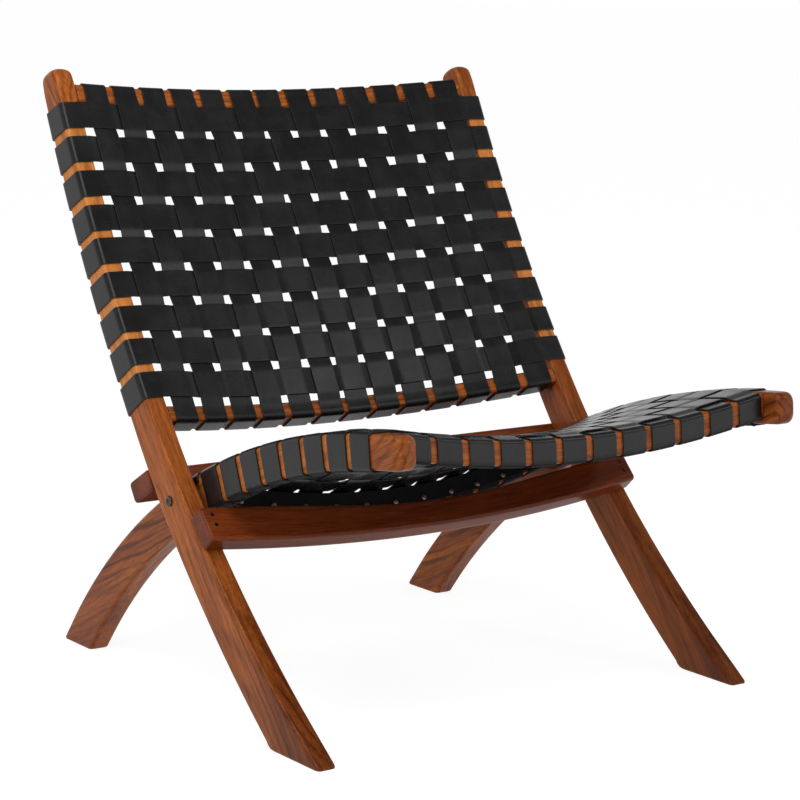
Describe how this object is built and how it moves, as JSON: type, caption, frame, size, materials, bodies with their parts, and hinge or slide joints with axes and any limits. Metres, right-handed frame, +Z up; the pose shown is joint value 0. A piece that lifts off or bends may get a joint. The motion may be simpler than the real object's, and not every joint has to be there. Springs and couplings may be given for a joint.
{
  "type": "folding strap lounge chair",
  "caption": "Low folding lounge chair: two curved hardwood frames cross at a pivot and carry a woven leather strap seat and back.",
  "frame": {"origin": "on the floor, under the middle of the open chair's box", "axes": "+Z up, the sitter faces -Y, X runs across the chair"},
  "size_m": [0.6054, 0.6786, 0.6795],
  "materials": {
    "frame_teak": "satin oiled teak with dark grain streaks",
    "stretcher_teak": "darker lacquered teak",
    "strap_leather": "smooth black leather, low sheen",
    "pivot_steel": "blackened steel"
  },
  "bodies": {
    "back_frame": {"left_post": "frame_teak", "left_pivot_bolt": "pivot_steel", "left_pivot_spacer": "pivot_steel", "right_post": "frame_teak", "right_pivot_bolt": "pivot_steel", "right_pivot_spacer": "pivot_steel", "back_top_rail": "frame_teak", "back_bottom_rail": "frame_teak", "front_stretcher": "stretcher_teak", "back_cross_strap_1": "strap_leather", "back_cross_strap_2": "strap_leather", "back_cross_strap_3": "strap_leather", "back_cross_strap_4": "strap_leather", "back_cross_strap_5": "strap_leather", "back_cross_strap_6": "strap_leather", "back_cross_strap_7": "strap_leather", "back_cross_strap_8": "strap_leather", "back_cross_strap_9": "strap_leather", "back_upright_strap_1": "strap_leather", "back_upright_strap_2": "strap_leather", "back_upright_strap_3": "strap_leather", "back_upright_strap_4": "strap_leather", "back_upright_strap_5": "strap_leather", "back_upright_strap_6": "strap_leather", "back_upright_strap_7": "strap_leather", "back_upright_strap_8": "strap_leather", "back_upright_strap_9": "strap_leather", "back_upright_strap_10": "strap_leather", "back_upright_strap_11": "strap_leather", "back_upright_strap_12": "strap_leather", "back_upright_strap_13": "strap_leather"},
    "seat_frame": {"left_seat_side": "frame_teak", "right_seat_side": "frame_teak", "seat_front_rail": "frame_teak", "seat_rear_rail": "frame_teak", "rear_stretcher": "stretcher_teak", "seat_cross_strap_1": "strap_leather", "seat_cross_strap_2": "strap_leather", "seat_cross_strap_3": "strap_leather", "seat_cross_strap_4": "strap_leather", "seat_cross_strap_5": "strap_leather", "seat_cross_strap_6": "strap_leather", "seat_cross_strap_7": "strap_leather", "seat_cross_strap_8": "strap_leather", "seat_cross_strap_9": "strap_leather", "seat_long_strap_1": "strap_leather", "seat_long_strap_2": "strap_leather", "seat_long_strap_3": "strap_leather", "seat_long_strap_4": "strap_leather", "seat_long_strap_5": "strap_leather", "seat_long_strap_6": "strap_leather", "seat_long_strap_7": "strap_leather", "seat_long_strap_8": "strap_leather", "seat_long_strap_9": "strap_leather", "seat_long_strap_10": "strap_leather", "seat_long_strap_11": "strap_leather", "seat_long_strap_12": "strap_leather"}
  },
  "joints": [
    {"name": "fold", "type": "hinge", "parent": "back_frame", "child": "seat_frame", "pos_m": [0, 0.03536, 0.2266], "axis": [-1, 0, 0], "range_deg": [0, 72]}
  ]
}
